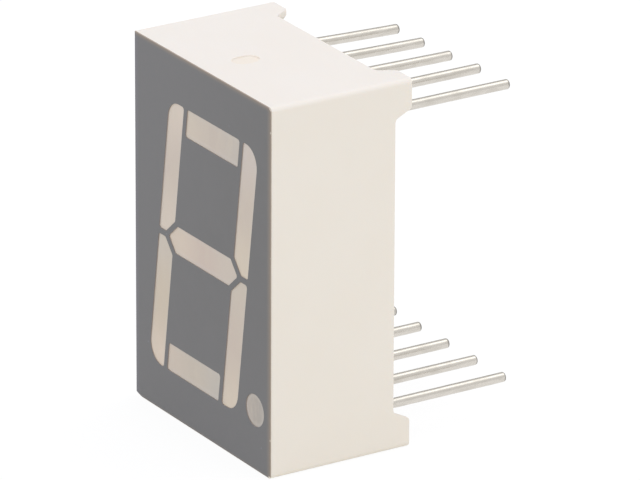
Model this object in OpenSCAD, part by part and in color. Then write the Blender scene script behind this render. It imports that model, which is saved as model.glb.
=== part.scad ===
// Single digit seven segment display, 0.56 inch class, ten wire pins.
// X runs to the right, Y from the face to the pins, Z up the digit.
// The origin is under the middle of the whole part, which stands on its lower edge.

/* [Housing] */
// Width across the face
body_w = 12.6; // [12.3:0.1:16]
// Height of the face
body_h = 19; // [17.8:0.1:23]
// Depth from the face to the rear rim
body_d = 6.95; // [6.6:0.05:9]
// Thickness of the wall round the rear cavity
wall = 0.55; // [0.4:0.05:0.6]
// Radius of the long outer edges on the right
edge_r = 0.25; // [0.1:0.05:0.5]
// Radius of the long outer edges on the left
left_r = 0.1; // [0.05:0.01:0.3]
// Radius of the edges round the face
front_r = 0.08; // [0.04:0.01:0.1]
// Width of the index bevel along the lower left edge
index_w = 0.72; // [0.3:0.02:1]
// Rise of the index bevel
index_rise = 0.18; // [0.05:0.01:0.4]
// Width of the gate scar on the top wall
gate_w = 1; // [0.5:0.1:2]
// Length of the gate scar along the depth
gate_l = 1.4; // [1:0.1:2.4]
// Depth of the gate scar
gate_t = 0.05; // [0.02:0.01:0.2]
// Distance of the gate scar from the face
gate_y = 2.45; // [1.5:0.05:3.5]

/* [Feet] */
// Height of the feet behind the rear rim
foot_h = 0.92; // [0.5:0.02:1.5]
// Reach of a foot's root across the width
foot_root_x = 1.85; // [1.5:0.05:1.95]
// Reach of a foot's root up the height
foot_root_z = 1.95; // [1.6:0.05:2.05]
// Reach of a foot's tip across the width
foot_tip_x = 1.3; // [0.9:0.05:1.4]
// Reach of a foot's tip up the height
foot_tip_z = 1.5; // [0.9:0.05:1.5]
// Width of the straight lip at each end of a foot's slanting inner face
foot_lip = 0.25; // [0.15:0.05:0.35]
// Step on the rear rim between the cavity's cut corner and a foot's slanting face
foot_step = 0.03; // [0.02:0.01:0.08]
// Fillet at the root of a foot
foot_fillet = 0.3; // [0.1:0.05:0.35]
// Round at the tip of a foot
foot_round = 0.22; // [0.05:0.01:0.25]

/* [Digit] */
// Height of the digit
digit_h = 14.13; // [11.5:0.01:14.4]
// Width of the digit, measured level
digit_w = 8.2; // [6.8:0.05:8.6]
// Lean of the digit in degrees
slant = 8; // [0:0.5:10]
// Height of the level bars
bar_w = 1.46; // [1.1:0.02:1.6]
// Level width of the upright bars
upright_w = 1.39; // [1.1:0.01:1.6]
// Gap between neighbouring bars
bar_gap = 0.31; // [0.2:0.01:0.45]
// Radius of the digit's four outer corners
corner_r = 1; // [0.3:0.05:1.2]
// Radius of the small corners of the bars
nib_r = 0.15; // [0.05:0.01:0.2]
// Shift of the digit to the right of the middle
digit_x = 0.07; // [-0.2:0.01:0.2]
// Shift of the digit above the middle
digit_z = -0.07; // [-0.2:0.01:0.2]
// Diameter of the decimal point
point_d = 1.65; // [1.2:0.05:1.7]
// Distance of the decimal point from the middle
point_x = 4.86; // [4.5:0.02:5.1]
// Height of the decimal point's centre above the foot of the digit
point_rise = 0.74; // [0.5:0.02:1.2]
// Thickness of the printed face
ink_t = 0.04; // [0.02:0.01:0.08]

/* [Light wells] */
// Depth from the face to the circuit board
well_d = 4.2; // [3.6:0.05:4.6]
// Depth of the straight mouth of a well
mouth_d = 0.5; // [0.3:0.05:1]
// Width of the ledge between a well's mouth and its funnel
well_ledge = 0.04; // [0.02:0.01:0.08]
// Diameter of the straight throat round a chip
throat_d = 1.1; // [1:0.05:1.2]
// Length of the throat
throat_l = 0.35; // [0.2:0.05:0.5]
// Width of the ledge between a well's funnel and its throat
throat_ledge = 0.03; // [0.02:0.01:0.05]
// Wall left between a well and the cored pockets
core_wall = 0.6; // [0.4:0.05:0.9]
// Corner radius of the cored pockets
core_r = 0.4; // [0.2:0.05:0.8]
// Thickness of the face in front of the cored pockets
core_face = 1.1; // [0.8:0.05:1.6]

/* [Circuit board] */
// Thickness of the board
board_t = 1.2; // [0.8:0.05:1.5]
// Clearance between the board and the cavity wall
board_gap = 0.1; // [0.05:0.01:0.15]
// Thickness of the copper
copper_t = 0.04; // [0.02:0.01:0.08]
// Width of a track
track_w = 0.3; // [0.2:0.05:0.4]
// Diameter of the ring of copper round a pin
ring_d = 0.9; // [0.8:0.05:1]
// Diameter of a plated hole through the board
via_d = 0.3; // [0.2:0.05:0.35]
// Distance from a chip to the plated hole that joins it to the rear
via_reach = 0.8; // [0.6:0.05:0.9]
// Depth from the rear rim down to the potting
potting_recess = 0.4; // [0.2:0.05:0.9]

/* [Chips] */
// Side of a light emitting chip
chip_w = 0.3; // [0.2:0.02:0.34]
// Thickness of a chip
chip_t = 0.22; // [0.15:0.01:0.3]
// Side of the pad under a chip
chip_pad_w = 0.42; // [0.4:0.01:0.44]
// Diameter of the contact on top of a chip
contact_d = 0.12; // [0.1:0.01:0.16]
// Thickness of the contact
contact_t = 0.01; // [0.01:0.01:0.02]
// Distance from the chip to the far end of its wire
bond_reach = 0.4; // [0.38:0.01:0.42]
// Side of the pad that takes the wire
bond_pad_w = 0.24; // [0.2:0.01:0.26]
// Diameter of a bond wire
wire_dia = 0.03; // [0.02:0.005:0.05]
// Bend radius of a bond wire
wire_bend = 0.26; // [0.25:0.01:0.3]

/* [Pins] */
// Diameter of a pin where it is dipped in solder
pin_d = 0.5; // [0.45:0.01:0.6]
// Diameter of a pin's bare wire inside the housing
bare_d = 0.45; // [0.35:0.01:0.5]
// Length over which the dip thins out in front of the tips of the feet
dip_run = 0.6; // [0.55:0.05:0.8]
// Distance between neighbouring pins
pin_pitch = 2.54; // [2:0.01:2.6]
// Distance between the two rows of pins
row_span = 15.24; // [14.9:0.02:15.6]
// Length of a pin behind the tips of the feet
pin_free = 6.27; // [3:0.01:12]
// Round at the tip of a pin
pin_round = 0.12; // [0.02:0.01:0.2]
// Diameter of a pin's rolled head
head_d = 0.75; // [0.65:0.01:0.8]
// Thickness of a pin's head
head_t = 0.25; // [0.15:0.01:0.4]
// Clearance round a pin's bare wire in the board and round its head in the housing
pin_gap = 0.03; // [0.02:0.01:0.06]
// Height of the solder fillet on a pin
solder_h = 0.35; // [0.2:0.05:0.5]
// Width of the solder fillet round a pin
solder_w = 0.18; // [0.1:0.01:0.2]

/* [Hidden] */
$fn = 64;
// how far a cut runs past the face that it opens
over = 0.2;
// thickness of the slices that a well's funnel is stretched between
slice = 0.02;
// how far a rounding arc stands out past the faces it joins, so that it crosses them cleanly
arc_cross = 0.0002;
rear_y = body_d + foot_h;
tip_y = rear_y + pin_free;
board_y = well_d + board_t;
potting_y = body_d - potting_recess;
mid_z = body_h / 2;
digit_at = [digit_x, mid_z + digit_z];
half_w = digit_w / 2;
half_h = digit_h / 2;
// inner edge, centre line and mitre of the upright bars
upright_in = half_w - upright_w;
upright_mid = half_w - upright_w / 2;
mitre = bar_gap / sqrt(2);
bar_end = upright_in - bar_gap;
lozenge_end = upright_mid - mitre;
// where the slanting inner face of a foot meets the two outer walls
leg_x = foot_root_x + foot_lip * (foot_root_x - foot_lip) / (foot_root_z - foot_lip);
leg_z = foot_root_z + foot_lip * (foot_root_z - foot_lip) / (foot_root_x - foot_lip);
// pins in one row, numbered along the lower row and back along the upper one
row_pins = 5;
common_pins = [3, 8];

// Each light: name, outline, corner radii, centre, pin that feeds it and heading of its wire
bar = [[bar_end, half_h - bar_w], [bar_end, half_h], [-bar_end, half_h], [-bar_end, half_h - bar_w]];
upright = [[upright_in, half_h], [half_w, half_h], [half_w, bar_gap / 2],
    [upright_mid + mitre - bar_gap / 2, bar_gap / 2],
    [upright_in, upright_mid + mitre - upright_in]];
lozenge = [[lozenge_end, 0], [lozenge_end - bar_w / 2, bar_w / 2], [bar_w / 2 - lozenge_end, bar_w / 2],
    [-lozenge_end, 0], [bar_w / 2 - lozenge_end, -bar_w / 2], [lozenge_end - bar_w / 2, -bar_w / 2]];
bar_mid = [0, half_h - bar_w / 2];
upright_at = [upright_mid, half_h / 2 + bar_gap / 4];
bar_round = [nib_r, nib_r, nib_r, nib_r];
upright_round = [nib_r, corner_r, nib_r, nib_r, nib_r];
lozenge_round = [nib_r, nib_r, nib_r, nib_r, nib_r, nib_r];
LIGHTS = [
    ["a", bar, bar_round, bar_mid, 7, 0],
    ["b", upright, upright_round, upright_at, 6, 0],
    ["c", flip(upright, 1, -1), upright_round, [upright_at[0], -upright_at[1]], 4, 270],
    ["d", flip(bar, 1, -1), bar_round, -bar_mid, 2, 180],
    ["e", flip(upright, -1, -1), upright_round, -upright_at, 1, 180],
    ["f", flip(upright, -1, 1), upright_round, [-upright_at[0], upright_at[1]], 9, 90],
    ["g", lozenge, lozenge_round, [0, 0], 10, 180],
    ["point", [], [], [], 5, 270]];

function light_name(light) = light[0] == "point" ? "decimal_point" : str("segment_", light[0]);
function unit(v) = v / norm(v);
function heading(angle) = [cos(angle), sin(angle)];
function flip(points, u, w) = [for (p = points) [p[0] * u, p[1] * w]];
// an upright digit's point, leaned over and put on the face
function lean(p) = digit_at + [p[0] + p[1] * tan(slant), p[1]];
point_at = [point_x, digit_at[1] - half_h + point_rise];
// the middle of a light, where its chip sits
function chip_at(light) = light[0] == "point" ? point_at : lean(light[3]);
function bond_at(light) = chip_at(light) + bond_reach * heading(light[5]);
function via_at(light) = chip_at(light) - via_reach * heading(light[5]);
// where a light's feed runs up or down: level with its pin, but never back past its wire
function column(light) =
    light[5] == 0 ? max(bond_at(light)[0], pin_at(light[4])[0]) :
    light[5] == 180 ? min(bond_at(light)[0], pin_at(light[4])[0]) :
    pin_at(light[4])[0];
function pin_at(n) = n <= row_pins
    ? [(n - (row_pins + 1) / 2) * pin_pitch, mid_z - row_span / 2]
    : [(row_pins + (row_pins + 1) / 2 - n) * pin_pitch, mid_z + row_span / 2];

// A flat outline drawn in X and Z, given thickness from one depth to another
module slab(from, to) {
    translate([0, to, 0])
        rotate([90, 0, 0])
            linear_extrude(to - from)
                children();
}

// Turns a shape that is drawn along Z to run to the rear from a place on the face
module rearward(at, depth) {
    translate([at[0], depth, at[1]])
        rotate([-90, 0, 0])
            children();
}

// What an arc leaves to be cut off a corner that points along X, seen from the arc's centre
module corner_waste(radius, half) {
    chord = radius * sin(half);
    reach = radius * cos(half) + over;
    difference() {
        translate([chord, -reach]) square([radius / sin(half) - chord + over, 2 * reach]);
        circle(radius + arc_cross);
    }
}

// A convex outline with a true arc at each corner that has a radius, drawn in all round by an inset
module rounded(points, radii, inset = 0) {
    last = len(points) - 1;
    back = [for (i = [0 : last]) unit(points[i == 0 ? last : i - 1] - points[i])];
    ahead = [for (i = [0 : last]) unit(points[i == last ? 0 : i + 1] - points[i])];
    half = [for (i = [0 : last]) acos(back[i] * ahead[i]) / 2];
    inward = [for (i = [0 : last]) unit(back[i] + ahead[i]) / sin(half[i])];
    difference() {
        polygon([for (i = [0 : last]) points[i] + inset * inward[i]]);
        for (i = [0 : last])
            if (radii[i] > inset)
                translate(points[i] + radii[i] * inward[i])
                    rotate(atan2(-inward[i][1], -inward[i][0]))
                        corner_waste(radii[i] - inset, half[i]);
    }
}

// Puts a shape that grows inwards from the lower left edge of the body at all four edges
module each_corner() {
    for (u = [0, 1], w = [0, 1])
        translate([(u - 0.5) * body_w, 0, w * body_h])
            mirror([u, 0, 0])
                mirror([0, 0, w])
                    children();
}

// The outline of the housing, with its index bevel at the lower left
module body_outline() {
    rounded([[body_w / 2, 0], [body_w / 2, body_h], [-body_w / 2, body_h],
        [-body_w / 2, index_rise], [index_w - body_w / 2, 0]],
        [edge_r, edge_r, left_r, left_r, left_r]);
}

// What is cut off along the edges round the face
module front_waste() {
    for (u = [-1, 1])
        translate([u * (body_w / 2 - front_r), front_r, mid_z])
            linear_extrude(body_h + 2 * over, center = true)
                rotate(u * 45 - 90) corner_waste(front_r, 45);
    for (w = [-1, 1])
        translate([0, front_r, mid_z + w * (body_h / 2 - front_r)])
            rotate([0, w * 90, 0])
                linear_extrude(body_w + 2 * over, center = true)
                    rotate(-135) corner_waste(front_r, 45);
}

// A block that fills the rear cavity between two depths, drawn in by a clearance
module cavity_block(from, to, inset) {
    slope = norm([leg_x, leg_z]);
    cut_x = leg_x + inset * slope / leg_z;
    cut_z = leg_z + inset * slope / leg_x;
    side = wall + inset;
    difference() {
        slab(from, to)
            translate([side - body_w / 2, side])
                square([body_w - 2 * side, body_h - 2 * side]);
        each_corner()
            slab(from - over, to + over)
                polygon([[-over, -over], [cut_x, -over], [cut_x, 0], [0, cut_z], [-over, cut_z]]);
    }
}

// The outline of one light on the face, drawn in all round by an inset
module light_outline(light, inset = 0) {
    if (light[0] == "point")
        translate(point_at) circle(d = point_d - 2 * inset);
    else
        rounded([for (p = light[1]) lean(p)], light[2], inset);
}

// The space of one light well, run on past both of its ends
module well(light) {
    throat_y = well_d - throat_l;
    slab(ink_t - over, mouth_d) light_outline(light);
    if (light[0] == "point")
        rearward(point_at, mouth_d - slice)
            cylinder(h = throat_y - mouth_d + slice,
                d1 = point_d - 2 * well_ledge, d2 = throat_d + 2 * throat_ledge);
    else
        hull() {
            slab(mouth_d - slice, mouth_d) light_outline(light, well_ledge, $fn = 32);
            slab(throat_y - slice, throat_y)
                translate(chip_at(light)) circle(d = throat_d + 2 * throat_ledge, $fn = 32);
        }
    rearward(chip_at(light), throat_y - slice) cylinder(h = throat_l + slice + over, d = throat_d);
}

// A foot's drafted inner face, as a bar whose section is drawn inwards and rearwards
module flank(root, tip, fillet) {
    draft = unit([tip - root, foot_h]);
    out = [draft[1], -draft[0]];
    fillet_at = [root + fillet * (1 + draft[0]) / draft[1], fillet];
    linear_extrude(2 * (foot_root_x + foot_root_z), center = true) {
        rounded([[root - over * draft[0] / draft[1], -over], [tip, foot_h],
            [-over, foot_h], [-over, -over]], [0, foot_round, 0, 0]);
        if (fillet > 0)
            difference() {
                polygon([[root - over, -over], [fillet_at[0], -over], fillet_at,
                    fillet_at - (fillet + over) * out]);
                translate(fillet_at) circle(fillet + arc_cross);
            }
    }
}

// One standoff foot: a corner post with two drafted faces and a slanting third
module foot() {
    across = unit([leg_z, leg_x]);
    root = across * [leg_x, 0] - foot_step;
    tip = across * [foot_tip_x + foot_lip, foot_tip_z + foot_lip] / 2;
    intersection() {
        flank(foot_root_x, foot_tip_x, foot_fillet);
        rotate([0, -90, 0]) flank(foot_root_z, foot_tip_z, foot_fillet);
        rotate([0, -atan2(leg_x, leg_z), 0]) flank(root, tip, 0);
    }
}

module feet() {
    intersection() {
        slab(body_d - over, rear_y) body_outline();
        each_corner() translate([0, body_d, 0]) foot();
    }
}

// The pockets cored out of the housing inside the upper and lower loops of the digit
module cores() {
    side = upright_in - core_wall;
    low = bar_w / 2 + core_wall;
    high = half_h - bar_w - core_wall;
    for (w = [-1, 1])
        slab(core_face, well_d + over)
            rounded([for (p = [[side, low], [side, high], [-side, high], [-side, low]])
                lean([p[0], w * p[1]])], [core_r, core_r, core_r, core_r]);
}

// The scar left on the top wall where the plastic entered the mould
module gate_scar() {
    translate([0, gate_y, body_h - gate_t])
        linear_extrude(gate_t + over) {
            square([gate_w, gate_l - gate_w], center = true);
            for (v = [-1, 1])
                translate([0, v * (gate_l - gate_w) / 2])
                    circle(d = gate_w);
        }
}

module housing() {
    color("ivory")
        difference() {
            union() {
                slab(ink_t, body_d) body_outline();
                feet();
            }
            for (light = LIGHTS) well(light);
            cavity_block(well_d, body_d + over, 0);
            cores();
            gate_scar();
            front_waste();
            for (n = [1 : 2 * row_pins])
                rearward(pin_at(n), well_d - head_t - pin_gap)
                    cylinder(h = head_t + pin_gap + over, r = head_d / 2 + pin_gap);
        }
}

module face_print() {
    color("dimgray")
        difference() {
            slab(0, ink_t) body_outline();
            for (light = LIGHTS) slab(-over, ink_t + over) light_outline(light);
            front_waste();
        }
}

// The diffused resin that fills a well, cast round its chip and wire
module light_block(light) {
    color("linen")
        difference() {
            intersection() {
                well(light);
                slab(ink_t, well_d) translate([-body_w / 2, 0]) square([body_w, body_h]);
            }
            led_chip(light);
            bond_wire(light);
        }
}

// A run of copper through a list of places
module track(places, width) {
    for (p = places) translate(p) circle(d = width);
    for (i = [1 : len(places) - 1]) {
        step = places[i] - places[i - 1];
        if (norm(step) > 0)
            translate(places[i - 1])
                rotate(atan2(step[1], step[0]))
                    translate([0, -width / 2])
                        square([norm(step), width]);
    }
}

module ring(n) {
    difference() {
        translate(pin_at(n)) circle(d = ring_d);
        translate(pin_at(n)) circle(r = bare_d / 2 + pin_gap);
    }
}

// Copper that feeds each light from its own pin, with its ring on both sides
module signal_tracks() {
    color("goldenrod") {
        for (light = LIGHTS) {
            bond = bond_at(light);
            pin = pin_at(light[4]);
            slab(well_d, well_d + copper_t)
                difference() {
                    union() {
                        translate(bond) square(bond_pad_w, center = true);
                        track([bond, [column(light), bond[1]], [column(light), pin[1]], pin], track_w);
                        translate(pin) circle(d = ring_d);
                    }
                    translate(pin) circle(r = bare_d / 2 + pin_gap);
                }
            slab(board_y - copper_t, board_y) ring(light[4]);
        }
    }
}

// Copper that joins every chip to the two common pins, by way of the board's rear
module common_track() {
    lowest = pin_at(common_pins[0]);
    highest = pin_at(common_pins[1]);
    color("goldenrod") {
        for (n = common_pins) slab(well_d, well_d + copper_t) ring(n);
        for (light = LIGHTS) {
            slab(well_d, well_d + copper_t) {
                translate(chip_at(light)) square(chip_pad_w, center = true);
                track([chip_at(light), via_at(light)], track_w);
                translate(via_at(light)) circle(d = via_d + track_w);
            }
            rearward(via_at(light), well_d) cylinder(h = board_t, d = via_d);
        }
        slab(board_y - copper_t, board_y)
            difference() {
                union() {
                    track([lowest, highest], 2 * track_w);
                    for (light = LIGHTS) {
                        via = via_at(light);
                        track([[0, via[1]], via], track_w);
                        translate(via) circle(d = via_d + track_w);
                    }
                    for (n = common_pins) translate(pin_at(n)) circle(d = ring_d);
                }
                for (n = common_pins) translate(pin_at(n)) circle(r = bare_d / 2 + pin_gap);
            }
    }
}

module circuit_board() {
    color("seagreen")
        difference() {
            cavity_block(well_d, board_y, board_gap);
            for (n = [1 : 2 * row_pins])
                rearward(pin_at(n), well_d - over)
                    cylinder(h = board_t + 2 * over, r = bare_d / 2 + pin_gap);
            signal_tracks();
            common_track();
        }
}

module led_chip(light) {
    color("firebrick")
        translate([chip_at(light)[0], well_d, chip_at(light)[1]])
            rotate([90, 0, 0]) {
                translate([0, 0, chip_t / 2]) cube([chip_w, chip_w, chip_t], center = true);
                translate([0, 0, chip_t]) cylinder(h = contact_t, d = contact_d);
            }
}

// A wire bent in one arc from a chip's contact down to its pad, with a foot at each end
module bond_wire(light) {
    top = chip_t + contact_t;
    feet = [[0, top], [bond_reach, 0]];
    start = feet[0] + [0, wire_dia];
    end = feet[1] + [0, wire_dia];
    half_chord = norm(end - start) / 2;
    across = unit([start[1] - end[1], bond_reach]);
    centre = (start + end) / 2 - across * sqrt(wire_bend * wire_bend - half_chord * half_chord);
    first = atan2(end[1] - centre[1], end[0] - centre[0]);
    sweep = atan2(start[1] - centre[1], start[0] - centre[0]) - first;
    color("gold")
        translate([chip_at(light)[0], well_d, chip_at(light)[1]])
            rotate([0, -light[5], 0])
                rotate([180, 0, 0]) {
                    translate(centre)
                        rotate(first)
                            rotate_extrude(angle = sweep)
                                translate([wire_bend, 0]) circle(d = wire_dia);
                    for (p = feet)
                        translate(p)
                            rotate([-90, 0, 0]) cylinder(h = 1.5 * wire_dia, d = 3 * wire_dia);
                }
}

module solder_joints() {
    color("lightgray")
        for (n = [1 : 2 * row_pins])
            rearward(pin_at(n), board_y)
                rotate_extrude()
                    translate([bare_d / 2, 0])
                        polygon([[0, 0], [solder_w, 0], [solder_w / 3, solder_h / 2], [0, solder_h]]);
}

module potting() {
    color("wheat")
        difference() {
            cavity_block(board_y, potting_y, 0);
            for (n = [1 : 2 * row_pins])
                rearward(pin_at(n), board_y - over)
                    cylinder(h = potting_y - board_y + 2 * over, d = bare_d);
            solder_joints();
        }
}

// A pin turned about Z from its head: bare wire, then the dipped length with its rounded tip
module pin(n) {
    head = head_d / 2;
    bare = bare_d / 2;
    dipped = pin_d / 2;
    dip_z = rear_y - well_d;
    end = tip_y - well_d;
    color("silver")
        rearward(pin_at(n), well_d)
            rotate_extrude() {
                polygon([[0, -head_t], [head, -head_t], [head, 0], [bare, 0], [bare, dip_z - dip_run],
                    [dipped, dip_z], [dipped, end - pin_round], [dipped - pin_round, end - pin_round],
                    [dipped - pin_round, end], [0, end]]);
                translate([dipped - pin_round, end - pin_round])
                    intersection() {
                        circle(pin_round);
                        square(pin_round);
                    }
            }
}

// Sets the part down with its origin under the middle of the whole of it
module stand() {
    translate([0, -tip_y / 2, 0]) children();
}

stand() housing();
stand() face_print();
for (light = LIGHTS)
    stand() light_block(light);
stand() circuit_board();
stand() signal_tracks();
stand() common_track();
for (light = LIGHTS) {
    stand() led_chip(light);
    stand() bond_wire(light);
}
stand() solder_joints();
stand() potting();
for (n = [1 : 2 * row_pins])
    stand() pin(n);
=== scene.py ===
import math
import bmesh
import bpy
from mathutils import Matrix, Vector, noise


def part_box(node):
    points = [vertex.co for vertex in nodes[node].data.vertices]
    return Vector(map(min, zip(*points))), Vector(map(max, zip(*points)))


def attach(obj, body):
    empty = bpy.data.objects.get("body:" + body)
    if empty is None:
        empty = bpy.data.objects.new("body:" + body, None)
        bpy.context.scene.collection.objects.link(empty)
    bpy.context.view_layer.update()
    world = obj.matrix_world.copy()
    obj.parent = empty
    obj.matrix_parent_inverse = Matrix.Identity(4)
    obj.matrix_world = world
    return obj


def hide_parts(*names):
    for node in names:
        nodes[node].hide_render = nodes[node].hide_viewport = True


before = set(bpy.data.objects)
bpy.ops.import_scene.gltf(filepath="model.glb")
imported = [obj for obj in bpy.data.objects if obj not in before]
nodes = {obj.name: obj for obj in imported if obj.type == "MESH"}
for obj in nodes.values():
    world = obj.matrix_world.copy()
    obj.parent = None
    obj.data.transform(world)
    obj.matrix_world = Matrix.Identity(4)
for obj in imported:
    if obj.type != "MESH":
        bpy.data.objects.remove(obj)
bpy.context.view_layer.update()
mm = 0.001
print("frame loaded with", len(nodes), "nodes")

# Where things are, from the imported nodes
housingLow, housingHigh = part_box("housing")
inkLow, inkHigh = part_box("face_print")
faceY = inkLow.y
midZ = (housingLow.z + housingHigh.z) / 2
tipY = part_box("pin_1")[1].y
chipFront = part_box("led_chip_a")[0].y
lightNames = ["a", "b", "c", "d", "e", "f", "g", "point"]
pinNames = [node for node in nodes if node.startswith("pin_")]


def middle(node):
    low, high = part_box(node)
    return (low + high) / 2


def facing(azimuth, elevation):
    # the direction in which something stands, seen from the object
    turn, lift = math.radians(azimuth), math.radians(elevation)
    return Vector((math.sin(turn) * math.cos(lift), -math.cos(turn) * math.cos(lift), math.sin(lift)))


def addObject(name, data):
    made = bpy.data.objects.new(name, data)
    bpy.context.scene.collection.objects.link(made)
    return made


def addMesh(name, mesh):
    # ends a bmesh and gives its object
    data = bpy.data.meshes.new(name)
    mesh.to_mesh(data)
    mesh.free()
    return addObject(name, data)


def everything(mesh):
    return mesh.verts[:] + mesh.edges[:] + mesh.faces[:]


def rank(at):
    # one number for a place: by height first, then by width, then by depth
    return at.z * 1e4 + at.x + at.y * 1e-4


# Camera
view = {
    "azimuth": 57.952,   # degrees round from the face
    "elevation": 21.553,
    "roll": 0.226,
    "distance": 386 * mm,
    "lens": 449.39,      # on a 36 mm sensor
    "depth": 4 * mm,     # of the point looked at, behind the face
    "panRight": 2.276 * mm,
    "panUp": -0.069 * mm,
    "clip": (0.01, 20),  # nearest and furthest, in metres
}


def makeCamera():
    azimuth = math.radians(view["azimuth"])
    back = facing(view["azimuth"], view["elevation"])
    right = Vector((math.cos(azimuth), math.sin(azimuth), 0))
    up = back.cross(right)
    aim = Vector((0, faceY + view["depth"], midZ))
    place = aim + right * view["panRight"] + up * view["panUp"] + back * view["distance"]
    turn = Matrix((right, up, back)).transposed() @ Matrix.Rotation(math.radians(view["roll"]), 3, "Z")
    data = bpy.data.cameras.new("camera")
    data.lens = view["lens"]
    data.clip_start, data.clip_end = view["clip"]
    camera = addObject("camera", data)
    camera.matrix_world = Matrix.Translation(place) @ turn.to_4x4()
    bpy.context.scene.camera = camera


makeCamera()
bpy.context.scene.view_settings.view_transform = "Standard"
print("camera set")


class Value:
    # A socket that takes arithmetic: each operator adds its Math node
    def __init__(self, finish, socket):
        self.finish = finish
        self.socket = socket

    def __add__(self, other):
        return self.finish.maths("ADD", self, other)

    def __sub__(self, other):
        return self.finish.maths("SUBTRACT", self, other)

    def __rsub__(self, other):
        return self.finish.maths("SUBTRACT", other, self)

    def __mul__(self, other):
        return self.finish.maths("MULTIPLY", self, other)

    def __truediv__(self, other):
        return self.finish.maths("DIVIDE", self, other)

    def __rtruediv__(self, other):
        return self.finish.maths("DIVIDE", other, self)

    def __abs__(self):
        return self.finish.maths("ABSOLUTE", self)

    __radd__ = __add__
    __rmul__ = __mul__


class Finish:
    # A material, or the world, and the nodes that make it
    def __init__(self, owner):
        self.owner = owner
        owner.use_nodes = True
        self.tree = owner.node_tree
        self.tree.nodes.clear()

    def node(self, kind, settings=None, values=None):
        made = self.tree.nodes.new("ShaderNode" + kind)
        for name, value in (settings or {}).items():
            setattr(made, name, value)
        for name, value in (values or {}).items():
            if isinstance(name, int):
                socket = made.inputs[name]
            else:
                socket = [s for s in made.inputs if s.name == name and s.enabled][0]
            if isinstance(value, Value):
                self.tree.links.new(value.socket, socket)
            else:
                socket.default_value = value
        return made

    def out(self, made, name=0):
        if isinstance(name, int):
            return Value(self, made.outputs[name])
        return Value(self, [s for s in made.outputs if s.name == name and s.enabled][0])

    def maths(self, operation, *numbers):
        return self.out(self.node("Math", {"operation": operation}, dict(enumerate(numbers))))

    def vector(self, operation, *vectors):
        made = self.node("VectorMath", {"operation": operation}, dict(enumerate(vectors)))
        return self.out(made, "Value" if operation == "DISTANCE" else "Vector")

    def mix(self, factor, first, second):
        made = self.node("Mix", {"data_type": "RGBA"}, {"Factor": factor, "A": first, "B": second})
        return self.out(made, "Result")

    def ease(self, value, low, high):
        # 0 below low, 1 above high and smooth between them
        made = self.node("MapRange", {"interpolation_type": "SMOOTHSTEP"},
                         {"Value": value, "From Min": low, "From Max": high})
        return self.out(made, "Result")

    def place(self):
        return self.out(self.node("TexCoord"), "Object")

    def axes(self, place):
        made = self.node("SeparateXYZ", None, {0: place})
        return [self.out(made, name) for name in "XYZ"]

    def noise(self, place, size, detail=2.0, rough=0.5, stretch=(1, 1, 1)):
        # size is that of one blotch, in metres, before it is stretched
        scaled = self.vector("MULTIPLY", place, tuple(1 / (size * s) for s in stretch))
        made = self.node("TexNoise", {"noise_dimensions": "3D"},
                         {"Vector": scaled, "Scale": 1.0, "Detail": detail, "Roughness": rough})
        return self.out(made)

    def spot(self, place, x, z):
        # how far off a place on the face is from one given in millimetres, looking straight at it
        flat = self.vector("MULTIPLY", place, (1, 0, 1))
        return self.vector("DISTANCE", flat, (x * mm, 0, z * mm))

    def bump(self, height, depth):
        # height runs from 0 to 1 and depth is its size in metres
        return self.out(self.node("Bump", None, {"Strength": 1.0, "Distance": depth, "Height": height}))

    def surface(self, values):
        shader = self.node("BsdfPrincipled", None, values)
        self.node("OutputMaterial", None, {"Surface": self.out(shader)})
        return self.owner


def newFinish(name):
    return Finish(bpy.data.materials.new(name))


def shade(red, green, blue):
    # screen values up to 255, as the linear light that a shader takes
    def linear(value):
        value /= 255
        return value / 12.92 if value <= 0.04045 else ((value + 0.055) / 1.055) ** 2.4
    return (linear(red), linear(green), linear(blue), 1)


# How far light gets into plastic and resin, red the furthest
scatter = {"share": 0.1, "radius": (1.0, 0.8, 0.6), "depth": 0.3 * mm}


def milky(share=scatter["share"], depth=scatter["depth"]):
    return {
        "Subsurface Weight": share,
        "Subsurface Radius": scatter["radius"],
        "Subsurface Scale": depth,
    }


# Moulded plastic of the housing
plastic = {
    "shade": shade(241, 234, 225),
    "warm": shade(239, 231, 220),
    "gate": shade(243, 229, 210),
    "roughness": 0.42,
    "cloud": 4 * mm,     # size of the blotches
    "grain": 0.09 * mm,
    "grainDepth": 0.0012 * mm,
    "gateSize": (0.5 * mm, 0.7 * mm),  # half its width and half its depth
    "gateY": 2.45 * mm,  # behind the face
}


def housingPlastic():
    finish = newFinish("housingPlastic")
    place = finish.place()
    x, y, z = finish.axes(place)
    cloud = finish.ease(finish.noise(place, plastic["cloud"], 3), 0.3, 0.7)
    colour = finish.mix(cloud * 0.4, plastic["shade"], plastic["warm"])
    # an oval scar in the top wall, where the plastic came in
    gateX = x / plastic["gateSize"][0]
    gateY = (y - (faceY + plastic["gateY"])) / plastic["gateSize"][1]
    outside = finish.maths("SQRT", gateX * gateX + gateY * gateY)
    onTop = finish.ease(z, housingHigh.z - 0.2 * mm, housingHigh.z - 0.1 * mm)
    scar = (1 - finish.ease(outside, 0.85, 1.2)) * onTop
    colour = finish.mix(scar * 0.5, colour, plastic["gate"])
    grain = finish.noise(place, plastic["grain"], 2)
    return finish.surface({
        "Base Color": colour,
        "Roughness": plastic["roughness"] + grain * 0.08,
        "Normal": finish.bump(grain, plastic["grainDepth"]),
        "IOR": 1.5,
        **milky(),
    })


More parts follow.
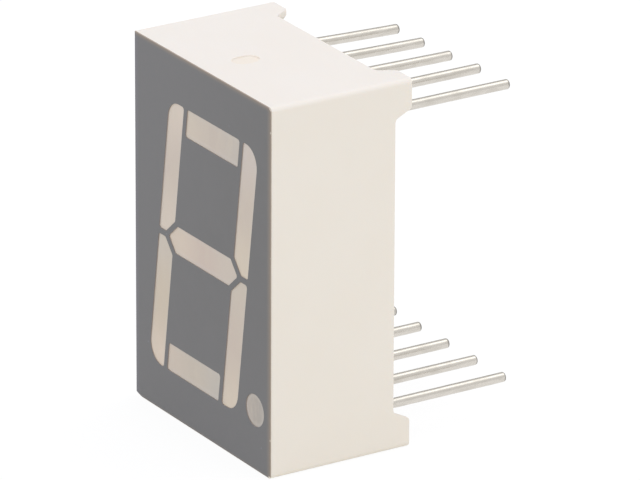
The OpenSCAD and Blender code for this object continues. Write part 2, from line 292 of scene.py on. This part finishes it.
# Ink of the face
ink = {
    "shade": shade(108, 108, 110),
    "light": shade(113, 113, 116),
    # painted sheen, cooler and lighter near the left edge
    "left": shade(117, 117, 124),
    "rim": shade(146, 133, 120),
    # thin ink on the walls of the openings, made paler still as painted light
    "wall": shade(176, 160, 146),
    "bare": shade(226, 217, 206),
    "speck": shade(134, 136, 144),
    "roughness": 0.5,
    "cloud": 1.4 * mm,
    "grain": 0.05 * mm,
    "grainDepth": 0.0012 * mm,
    "ragged": 0.07 * mm,  # how far its edge wanders
    "raggedSize": 0.5 * mm,
    "corner": 0.4 * mm,   # radius of its upper right corner
    "thin": 0.8,          # how much the plastic tints it at the edge
    "thinReach": 0.46 * mm,
    "leftReach": (0.1 * mm, 0.45 * mm),
    # x and z from the middle of the lower edge and radius, in millimetres
    "nicks": [
        (6.28, 17.75, 0.07), (6.29, 11.4, 0.05), (6.28, 2.02, 0.07), (6.2, 0.04, 0.13),
    ],
    "specks": [
        (-3.3, 9.45, 0.05), (5.45, 1.35, 0.06), (3.4, 11.0, 0.04), (-5.1, 3.2, 0.05), (2.5, 16.9, 0.04),
    ],
}


def faceInk():
    finish = newFinish("faceInk")
    place = finish.place()
    x, y, z = finish.axes(place)
    cloud = finish.ease(finish.noise(place, ink["cloud"], 4), 0.3, 0.7)
    colour = finish.mix(cloud * 0.3, ink["shade"], ink["light"])
    # painted sheen, a little lighter to the left and at the top, and painted light at the bottom, which
    # lifts the shade there
    colour = finish.mix(finish.ease(z * 0.5 - x, 1 * mm, 14 * mm), colour, ink["light"])
    colour = finish.mix((1 - finish.ease(z, 0.0, 11 * mm)) * 0.65, colour, ink["light"])
    ragged = (finish.noise(place, ink["raggedSize"], 3) - 0.5) * ink["ragged"]
    toLeft = x - inkLow.x + ragged
    toBottom = z - inkLow.z + ragged
    # from the right and upper edges, round the corner between them, which is lower than it is wide
    turn = ink["corner"]
    cornerX = finish.maths("MAXIMUM", turn - inkHigh.x + x, 0.0)
    cornerZ = finish.maths("MAXIMUM", turn - (inkHigh.z - z) * 1.6, 0.0)
    toEdge = turn - finish.maths("SQRT", cornerX * cornerX + cornerZ * cornerZ) + ragged
    # painted sheen: cooler and lighter near the left edge
    colour = finish.mix(1 - finish.ease(toLeft, *ink["leftReach"]), colour, ink["left"])
    # thin towards its edges, so that the plastic tints it
    thin = (1 - finish.ease(toEdge, -0.05 * mm, ink["thinReach"])) * ink["thin"]
    thin = finish.maths("MAXIMUM", thin, (1 - finish.ease(toBottom, 0.0, 0.2 * mm)) * 0.35)
    colour = finish.mix(thin, colour, ink["rim"])
    bare = 1 - finish.ease(toEdge, -0.02 * mm, 0.03 * mm)
    for nickX, nickZ, radius in ink["nicks"]:
        away = finish.spot(place, nickX, nickZ) + ragged * 0.4
        bare = finish.maths("MAXIMUM", bare, 1 - finish.ease(away, radius * 0.6 * mm, radius * 1.1 * mm))
    colour = finish.mix(bare, colour, ink["bare"])
    pale = 0.0
    for speckX, speckZ, radius in ink["specks"]:
        away = finish.spot(place, speckX, speckZ)
        pale = finish.maths("MAXIMUM", pale, 1 - finish.ease(away, radius * 0.4 * mm, radius * 1.2 * mm))
    colour = finish.mix(pale * 0.6, colour, ink["speck"])
    # the walls of its openings have taken little of it, and are painted paler still, as painted light
    # that lifts the shade in these recesses
    wall = finish.ease(y, faceY + 0.003 * mm, faceY + 0.012 * mm)
    colour = finish.mix(wall * 0.8, colour, ink["wall"])
    grain = finish.noise(place, ink["grain"], 2)
    return finish.surface({
        "Base Color": colour,
        "Roughness": ink["roughness"] + grain * 0.12,
        "Normal": finish.bump(grain, ink["grainDepth"]),
        "IOR": 1.45,
    })


# Milky resin of the lights, with painted light: paler where the white walls of a well stand close behind
# it
resin = {
    "paintedLightShades": {
        # painted light, at the left or lower end, in the middle and at the right or upper end
        "a": (shade(205, 193, 180), shade(197, 185, 175), shade(193, 184, 176)),
        "b": (shade(213, 200, 183), shade(201, 188, 177), shade(204, 193, 187)),
        "c": (shade(216, 202, 186), shade(201, 187, 176), shade(201, 190, 178)),
        "d": (shade(205, 191, 179), shade(198, 187, 175), shade(193, 186, 178)),
        "e": (shade(220, 204, 189), shade(203, 189, 172), shade(201, 191, 180)),
        "f": (shade(213, 200, 188), shade(201, 188, 178), shade(213, 200, 189)),
        "g": (shade(211, 196, 182), shade(202, 186, 176), shade(202, 190, 180)),
        "point": (shade(180, 170, 162), shade(173, 165, 158), shade(170, 164, 159)),
    },
    # a paler rim along the edges, painted light
    "rim": shade(208, 201, 197),
    "rimWeight": 0.3,
    "rimWidth": 0.3 * mm,
    "powder": shade(205, 194, 180),
    "powderSize": 0.4 * mm,
    "halfLength": {"level": 2.3 * mm, "upright": 3.4 * mm, "point": 0.8 * mm},
    "halfWidth": 0.71 * mm,
    "pointExtra": 0.12 * mm,  # the point's radius, past half a bar's width
    "slant": math.tan(math.radians(8)),
    "roughness": 0.38,
    "grain": 0.07 * mm,
    "grainDepth": 0.001 * mm,
}


def lightResin(name):
    finish = newFinish("lightResin_" + name)
    chip = middle("led_chip_" + name)
    place = finish.place()
    x, _, z = finish.axes(place)
    right, up = x - chip.x, z - chip.z
    if name == "point":
        form, along = "point", right
        across = finish.maths("SQRT", right * right + up * up) - resin["pointExtra"]
    elif name in "adg":
        form, along, across = "level", right, abs(up)
    else:
        form, along, across = "upright", up, abs(right - up * resin["slant"])
    reach = resin["halfLength"][form]
    low, centre, high = resin["paintedLightShades"][name]
    # painted light, paler towards the ends of a bar
    colour = finish.mix(finish.ease(along, -reach, 0.0), low, centre)
    colour = finish.mix(finish.ease(along, 0.0, reach), colour, high)
    # painted light: paler along the edges of a bar
    rim = finish.ease(across, resin["halfWidth"] - resin["rimWidth"], resin["halfWidth"])
    colour = finish.mix(rim * resin["rimWeight"], colour, resin["rim"])
    # diffusing powder, settled in faint clouds
    powder = finish.noise(place, resin["powderSize"], 4, 0.6, (1, 1, 2.5))
    colour = finish.mix(finish.ease(powder, 0.4, 0.75) * 0.35, colour, resin["powder"])
    grain = finish.noise(place, resin["grain"], 2)
    return finish.surface({
        "Base Color": colour,
        "Roughness": resin["roughness"] + grain * 0.1,
        "Normal": finish.bump(grain, resin["grainDepth"]),
        "IOR": 1.5,
        **milky(),
    })


# Solder dipped wire
wire = {
    "shade": shade(217, 212, 204),
    "dull": shade(203, 198, 189),
    # darker at the cut tips: bare metal, with painted shade as well
    "cut": shade(146, 141, 135),
    "cutLength": 0.15 * mm,
    "roughness": 0.26,
    "streak": 0.14 * mm,  # width of the lines left by the dip
    "mottle": 0.24 * mm,
    "depth": 0.001 * mm,
}


def pinMetal():
    finish = newFinish("pinMetal")
    place = finish.place()
    y = finish.axes(place)[1]
    streak = finish.noise(place, wire["streak"], 2, 0.5, (1, 12, 1))
    mottle = finish.noise(place, wire["mottle"], 3, 0.5, (1, 3, 1))
    dull = finish.ease(mottle, 0.4, 0.66)
    # the tips were cut after the dip, which leaves bare metal that is darker, and they are painted
    # darker still, as painted shade along their rounded ends
    uneven = y + (mottle - 0.5) * (0.1 * mm)
    cut = finish.ease(uneven, tipY - wire["cutLength"], tipY - wire["cutLength"] * 0.5)
    colour = finish.mix(dull * 0.6, wire["shade"], wire["dull"])
    return finish.surface({
        "Base Color": finish.mix(cut, colour, wire["cut"]),
        "Metallic": 1.0,
        "Roughness": wire["roughness"] + dull * 0.06 + cut * 0.15,
        "Normal": finish.bump(streak * 0.8 + mottle * 0.2, wire["depth"]),
    })


# Pins that have been bent a little
lean = {
    # how far the tip stands to the right of its place and above it
    "tips": {
        "pin_1": (0.25 * mm, 0.05 * mm),
        "pin_8": (0.0, -0.14 * mm),
        "pin_9": (0.05 * mm, -0.24 * mm),
        "pin_10": (0.3 * mm, -0.25 * mm),
    },
    "rings": 16,
    "crowd": 1.5,   # over 1, the rings stand closer near the resin
    "curve": 0.55,  # under 1, most of the bend is near the resin
    "soft": 0.03,   # keeps it from starting in a kink
    "weld": 0.0005 * mm,
    "sharp": math.radians(35),
}


def makeBentPin(node, right, up, material):
    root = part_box("potting")[1].y
    free = tipY - root
    mesh = bmesh.new()
    mesh.from_mesh(nodes[node].data)
    bmesh.ops.remove_doubles(mesh, verts=mesh.verts, dist=lean["weld"])
    for ring in range(lean["rings"]):
        y = root + free * (ring / lean["rings"]) ** lean["crowd"]
        bmesh.ops.bisect_plane(mesh, geom=everything(mesh), plane_co=(0, y, 0), plane_no=(0, 1, 0))
    soft, curve = lean["soft"], lean["curve"]
    start = soft ** curve
    for vert in mesh.verts:
        reach = max(0, vert.co.y - root) / free
        share = ((reach + soft) ** curve - start) / ((1 + soft) ** curve - start)
        vert.co.x += right * share
        vert.co.z += up * share
    bmesh.ops.remove_doubles(mesh, verts=mesh.verts, dist=lean["weld"])
    piece = addMesh("bent_" + node, mesh)
    data = piece.data
    # its smooth shading is worked out again, for the bent shape
    if "custom_normal" in data.attributes:
        data.attributes.remove(data.attributes["custom_normal"])
    data.shade_smooth()
    data.set_sharp_from_angle(angle=lean["sharp"])
    data.materials.append(material)
    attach(piece, "root")
    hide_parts(node)


# Resin that seals the back
seal = {
    "shade": shade(216, 208, 196),
    "deep": shade(206, 196, 180),
    "ring": shade(188, 180, 166),
    "roughness": 0.16,
    "cloud": 2.2 * mm,
    "ringReach": (0.3 * mm, 0.62 * mm),
    "pits": 1.3 * mm,        # from one pin hole to the next
    "flow": 0.9 * mm,
    "flowDepth": 0.02 * mm,
    "smear": 0.6 * mm,
    "scatter": 0.15,
    "scatterDepth": 0.4 * mm,
    "touch": 0.001 * mm,     # this near to an edge is on it
    "cell": 0.1 * mm,        # of its mesh
    "bite": 0.01 * mm,       # it goes this far into the walls
    "climb": 0.16 * mm,      # up the walls
    "pinClimb": 0.24 * mm,   # up the pins
    "pinRadius": 0.225 * mm,
    "reach": 0.12 * mm,      # how far from them the climb has mostly gone
    "sag": 0.05 * mm,
    "sagReach": 1.5 * mm,
    "wave": 0.012 * mm,
    "waveSize": 1.6 * mm,
}


def sealResin():
    finish = newFinish("sealResin")
    place = finish.place()
    cloud = finish.ease(finish.noise(place, seal["cloud"], 4, 0.6), 0.35, 0.7)
    colour = finish.mix(cloud * 0.6, seal["shade"], seal["deep"])
    # the solder shows faintly round each pin
    near = 1.0 * mm
    for pin in pinNames:
        at = middle(pin)
        near = finish.maths("MINIMUM", near, finish.spot(place, at.x / mm, at.z / mm))
    ring = 1 - finish.ease(near, *seal["ringReach"])
    colour = finish.mix(ring * 0.5, colour, seal["ring"])
    # a few pin holes where air came out, with painted shade in them
    cells = finish.node("TexVoronoi", {"feature": "F1"}, {"Vector": place, "Scale": 1 / seal["pits"]})
    pit = 1 - finish.ease(finish.out(cells, "Distance"), 0.02, 0.07)
    colour = finish.mix(pit * 0.5, colour, seal["ring"])
    flow = finish.noise(place, seal["flow"], 2)
    return finish.surface({
        "Base Color": colour,
        "Roughness": seal["roughness"] + finish.noise(place, seal["smear"], 3) * 0.14,
        "Normal": finish.bump(flow - pit * 0.6, seal["flowDepth"]),
        "IOR": 1.52,
        **milky(seal["scatter"], seal["scatterDepth"]),
    })


def makeSeal(material):
    low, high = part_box("potting")
    centre = (low + high) / 2
    half = (high - low) / 2
    outline = [v.co for v in nodes["potting"].data.vertices]
    # how much of each corner is cut off, along its width and its height
    cutX = high.x - max(p.x for p in outline if p.z > high.z - seal["touch"])
    cutZ = high.z - max(p.z for p in outline if p.x > high.x - seal["touch"])
    across = Vector((cutZ, cutX)).normalized()
    cutAt = (half.x - cutX) * across.x + half.z * across.y
    pins = [middle(pin) - centre for pin in pinNames]

    mesh = bmesh.new()
    bmesh.ops.create_grid(mesh, x_segments=round(2 * half.x / seal["cell"]),
                          y_segments=round(2 * half.z / seal["cell"]), size=1)
    bmesh.ops.scale(mesh, verts=mesh.verts, vec=(half.x + seal["bite"], half.z + seal["bite"], 1))
    bmesh.ops.rotate(mesh, verts=mesh.verts, matrix=Matrix.Rotation(math.radians(-90), 3, "X"))
    for u in (-1, 1):
        for w in (-1, 1):
            slope = Vector((u * across.x, 0, w * across.y))
            bmesh.ops.bisect_plane(mesh, geom=everything(mesh), plane_co=slope * (cutAt + seal["bite"]),
                                   plane_no=slope, clear_outer=True)
    surface = mesh.verts[:]
    made = bmesh.ops.extrude_face_region(mesh, geom=mesh.faces[:], use_keep_orig=True)
    bottom = [v for v in made["geom"] if isinstance(v, bmesh.types.BMVert)]
    bmesh.ops.translate(mesh, verts=bottom, vec=(0, -2 * half.y, 0))
    for vert in surface:
        x, z = vert.co.x, vert.co.z
        wall = min(half.x - abs(x), half.z - abs(z), cutAt - abs(x) * across.x - abs(z) * across.y)
        pin = min(math.hypot(x - at.x, z - at.z) for at in pins) - seal["pinRadius"]
        wall, pin = max(wall, 0), max(pin, 0)
        vert.co.y += (seal["climb"] * math.exp(-wall / seal["reach"])
                      + seal["pinClimb"] * math.exp(-pin / seal["reach"])
                      - seal["sag"] * (1 - math.exp(-wall / seal["sagReach"]))
                      + seal["wave"] * noise.noise(Vector((x, z, 0)) / seal["waveSize"]))
    bmesh.ops.translate(mesh, verts=mesh.verts, vec=(centre.x, high.y, centre.z))
    bmesh.ops.recalc_face_normals(mesh, faces=mesh.faces)
    # extruding leaves the pieces of a mesh in another order each run, so they are put in order of place
    mesh.verts.sort(key=lambda vert: rank(vert.co))
    mesh.edges.sort(key=lambda edge: rank(edge.verts[0].co + edge.verts[1].co))
    mesh.faces.sort(key=lambda face: rank(face.calc_center_median()))
    piece = addMesh("pottingSeal", mesh)
    piece.data.shade_smooth()
    piece.data.materials.append(material)
    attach(piece, "root")
    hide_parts("potting")


# What the housing hides: the board, its copper and solder, the chips and their wires
inside = {
    "laminate": shade(150, 164, 98),
    "glass": shade(178, 184, 128),
    "weave": 0.3 * mm,    # from thread to thread
    "weaveDepth": 0.008 * mm,
    "fleck": 0.08 * mm,
    "copper": shade(240, 198, 120),
    "tarnish": shade(196, 142, 84),
    "stain": 0.5 * mm,
    "brush": 0.05 * mm,
    "brushDepth": 0.002 * mm,
    "tin": shade(206, 206, 208),
    "tinGrain": 0.06 * mm,
    "tinDepth": 0.006 * mm,
    "flux": shade(176, 158, 118),
    "fluxSize": 0.3 * mm,
    "crystal": shade(122, 34, 26),
    "crystalDeep": shade(84, 18, 18),
    "contact": (0.002 * mm, 0.008 * mm),  # where it gives way to the crystal
    "saw": 0.02 * mm,
    "sawDepth": 0.002 * mm,
    "gold": shade(246, 206, 124),
    "draw": 0.012 * mm,
    "drawDepth": 0.0005 * mm,
}


def boardLaminate():
    finish = newFinish("boardLaminate")
    place = finish.place()
    x, _, z = finish.axes(place)
    turns = 2 * math.pi / inside["weave"]
    warp = finish.maths("SINE", x * turns)
    weft = finish.maths("SINE", z * turns)
    weave = warp * weft * 0.5 + 0.5
    fleck = finish.noise(place, inside["fleck"], 3)
    return finish.surface({
        "Base Color": finish.mix(weave * 0.6 + fleck * 0.3, inside["laminate"], inside["glass"]),
        "Roughness": 0.38 + fleck * 0.2,
        "Normal": finish.bump(weave, inside["weaveDepth"]),
    })


def trackMetal():
    finish = newFinish("trackMetal")
    place = finish.place()
    stain = finish.ease(finish.noise(place, inside["stain"], 4, 0.6), 0.45, 0.75)
    brushed = finish.noise(place, inside["brush"], 2, 0.5, (8, 1, 1))
    return finish.surface({
        "Base Color": finish.mix(stain * 0.5, inside["copper"], inside["tarnish"]),
        "Metallic": 1.0,
        "Roughness": 0.24 + stain * 0.2,
        "Normal": finish.bump(brushed, inside["brushDepth"]),
    })


def solderTin():
    finish = newFinish("solderTin")
    place = finish.place()
    grain = finish.noise(place, inside["tinGrain"], 3)
    flux = finish.ease(finish.noise(place, inside["fluxSize"], 2), 0.6, 0.75)
    return finish.surface({
        "Base Color": finish.mix(flux * 0.6, inside["tin"], inside["flux"]),
        "Metallic": 1 - flux * 0.7,
        "Roughness": 0.2 + grain * 0.2,
        "Normal": finish.bump(grain, inside["tinDepth"]),
    })


def chipCrystal():
    finish = newFinish("chipCrystal")
    place = finish.place()
    y = finish.axes(place)[1]
    # the contact stands out in front of the crystal
    near, far = inside["contact"]
    contact = 1 - finish.ease(y, chipFront + near, chipFront + far)
    saw = finish.noise(place, inside["saw"], 3, 0.6, (1, 6, 1))
    colour = finish.mix(saw, inside["crystal"], inside["crystalDeep"])
    return finish.surface({
        "Base Color": finish.mix(contact, colour, inside["gold"]),
        "Metallic": contact,
        "Roughness": 0.12 + saw * 0.2,
        "Normal": finish.bump(saw, inside["sawDepth"]),
        "IOR": 2.4,
    })


def wireGold():
    finish = newFinish("wireGold")
    place = finish.place()
    drawn = finish.noise(place, inside["draw"], 2)
    return finish.surface({
        "Base Color": finish.mix(drawn * 0.4, inside["gold"], inside["copper"]),
        "Metallic": 1.0,
        "Roughness": 0.14 + drawn * 0.12,
        "Normal": finish.bump(drawn, inside["drawDepth"]),
    })


def dress(node, material):
    nodes[node].data.materials.clear()
    nodes[node].data.materials.append(material)


dress("housing", housingPlastic())
dress("face_print", faceInk())
for name in lightNames:
    dress("decimal_point" if name == "point" else "segment_" + name, lightResin(name))
metal = pinMetal()
for pin in pinNames:
    dress(pin, metal)
dress("circuit_board", boardLaminate())
copper = trackMetal()
dress("signal_tracks", copper)
dress("common_track", copper)
dress("solder_joints", solderTin())
crystal, gold = chipCrystal(), wireGold()
for name in lightNames:
    dress("led_chip_" + name, crystal)
    dress("bond_wire_" + name, gold)
print("finishes made")

for node, (right, up) in lean["tips"].items():
    makeBentPin(node, right, up, metal)
print("pins bent")

backResin = sealResin()
dress("potting", backResin)
makeSeal(backResin)
print("seal made")


# Floor, world and lamps
white = (1, 1, 1, 1)
studio = {
    "floorSize": 1.2,
    "floorGap": 0.01 * mm,                 # under the part, so that the two don't share a plane
    "floorShade": (0.6, 0.587, 0.515, 1),  # as the object has it
    "floorLift": 0.34,                     # its own light, so that no dark rim shows low down
    "shadowShade": 0.12,                   # as the camera has it, over the glow
    "glow": 0.9,
    "world": 1.03,
    "sky": (0.935, 0.948, 1, 1),
    "lamps": [
        # name, azimuth and elevation in degrees, distance, size, power in watts, colour, shows in gloss
        ("topBox", 175, 60, 0.5, 0.28, 0.22, (0.96, 0.97, 0.96), True),
        ("sideBox", 100, 25, 0.5, 0.4, 0.06, (1, 0.97, 0.9), False),
        ("frontBox", -20, 25, 0.5, 0.4, 0.12, (1, 0.99, 0.97), False),
    ],
    "cards": [
        # grey cards seen in gloss only: azimuth, elevation, distance, size and level
        (234, 27, 0.9, 0.66, 0.56),
        (121, 22, 0.9, 0.6, 0.84),
    ],
}


def isSeen(finish):
    # 1 for what the camera sees, straight, in a mirror or through glass
    path = finish.node("LightPath")
    seen = finish.maths("MAXIMUM", finish.out(path, "Is Camera Ray"), finish.out(path, "Is Glossy Ray"))
    return finish.maths("MAXIMUM", seen, finish.out(path, "Is Transmission Ray"))


def glowing(finish, colour, glow, strength):
    # plain paper that also gives light of its own
    paper = finish.node("BsdfDiffuse", None, {"Color": colour})
    light = finish.node("Emission", None, {"Color": glow, "Strength": strength})
    return finish.out(finish.node("AddShader", None, {0: finish.out(paper), 1: finish.out(light)}))


def makeFloor():
    mesh = bmesh.new()
    bmesh.ops.create_grid(mesh, x_segments=1, y_segments=1, size=studio["floorSize"])
    bmesh.ops.translate(mesh, verts=mesh.verts, vec=(0, 0, -studio["floorGap"]))
    floor = addMesh("floor", mesh)
    finish = newFinish("floorPaper")
    unseen = glowing(finish, studio["floorShade"], studio["floorShade"], studio["floorLift"])
    seen = glowing(finish, (studio["shadowShade"],) * 3 + (1,), white, studio["glow"])
    either = finish.node("MixShader", None, {0: isSeen(finish), 1: unseen, 2: seen})
    finish.node("OutputMaterial", None, {"Surface": finish.out(either)})
    floor.data.materials.append(finish.owner)


def makeWorld():
    world = bpy.data.worlds.new("studio")
    bpy.context.scene.world = world
    finish = Finish(world)
    soft = finish.node("Background", None, {"Color": studio["sky"], "Strength": studio["world"]})
    plain = finish.node("Background", None, {"Color": white, "Strength": 1.0})
    either = finish.node("MixShader", None,
                         {0: isSeen(finish), 1: finish.out(soft), 2: finish.out(plain)})
    finish.node("OutputWorld", None, {"Surface": finish.out(either)})


def makeLamp(name, azimuth, elevation, distance, size, power, colour, inGloss):
    back = facing(azimuth, elevation)
    data = bpy.data.lights.new(name, "AREA")
    data.shape = "SQUARE"
    data.size = size
    data.energy = power
    data.color = colour
    lamp = addObject(name, data)
    lamp.location = Vector((0, 0, midZ)) + back * distance
    lamp.rotation_euler = back.to_track_quat("Z", "Y").to_euler()
    lamp.visible_glossy = inGloss


def makeCard(azimuth, elevation, distance, size, level):
    # round metal shows it as a line along its length
    back = facing(azimuth, elevation)
    mesh = bmesh.new()
    bmesh.ops.create_grid(mesh, x_segments=1, y_segments=1, size=size / 2)
    turn = back.to_track_quat("Z", "Y").to_matrix().to_4x4()
    place = Matrix.Translation(Vector((0, 0, midZ)) + back * distance)
    bmesh.ops.transform(mesh, matrix=place @ turn, verts=mesh.verts)
    card = addMesh("card", mesh)
    card.visible_camera = card.visible_diffuse = card.visible_shadow = False
    finish = newFinish("cardGrey")
    grey = finish.node("Emission", None, {"Color": white, "Strength": level})
    finish.node("OutputMaterial", None, {"Surface": finish.out(grey)})
    card.data.materials.append(finish.owner)


makeFloor()
makeWorld()
for lamp in studio["lamps"]:
    makeLamp(*lamp)
for card in studio["cards"]:
    makeCard(*card)
print("studio set")
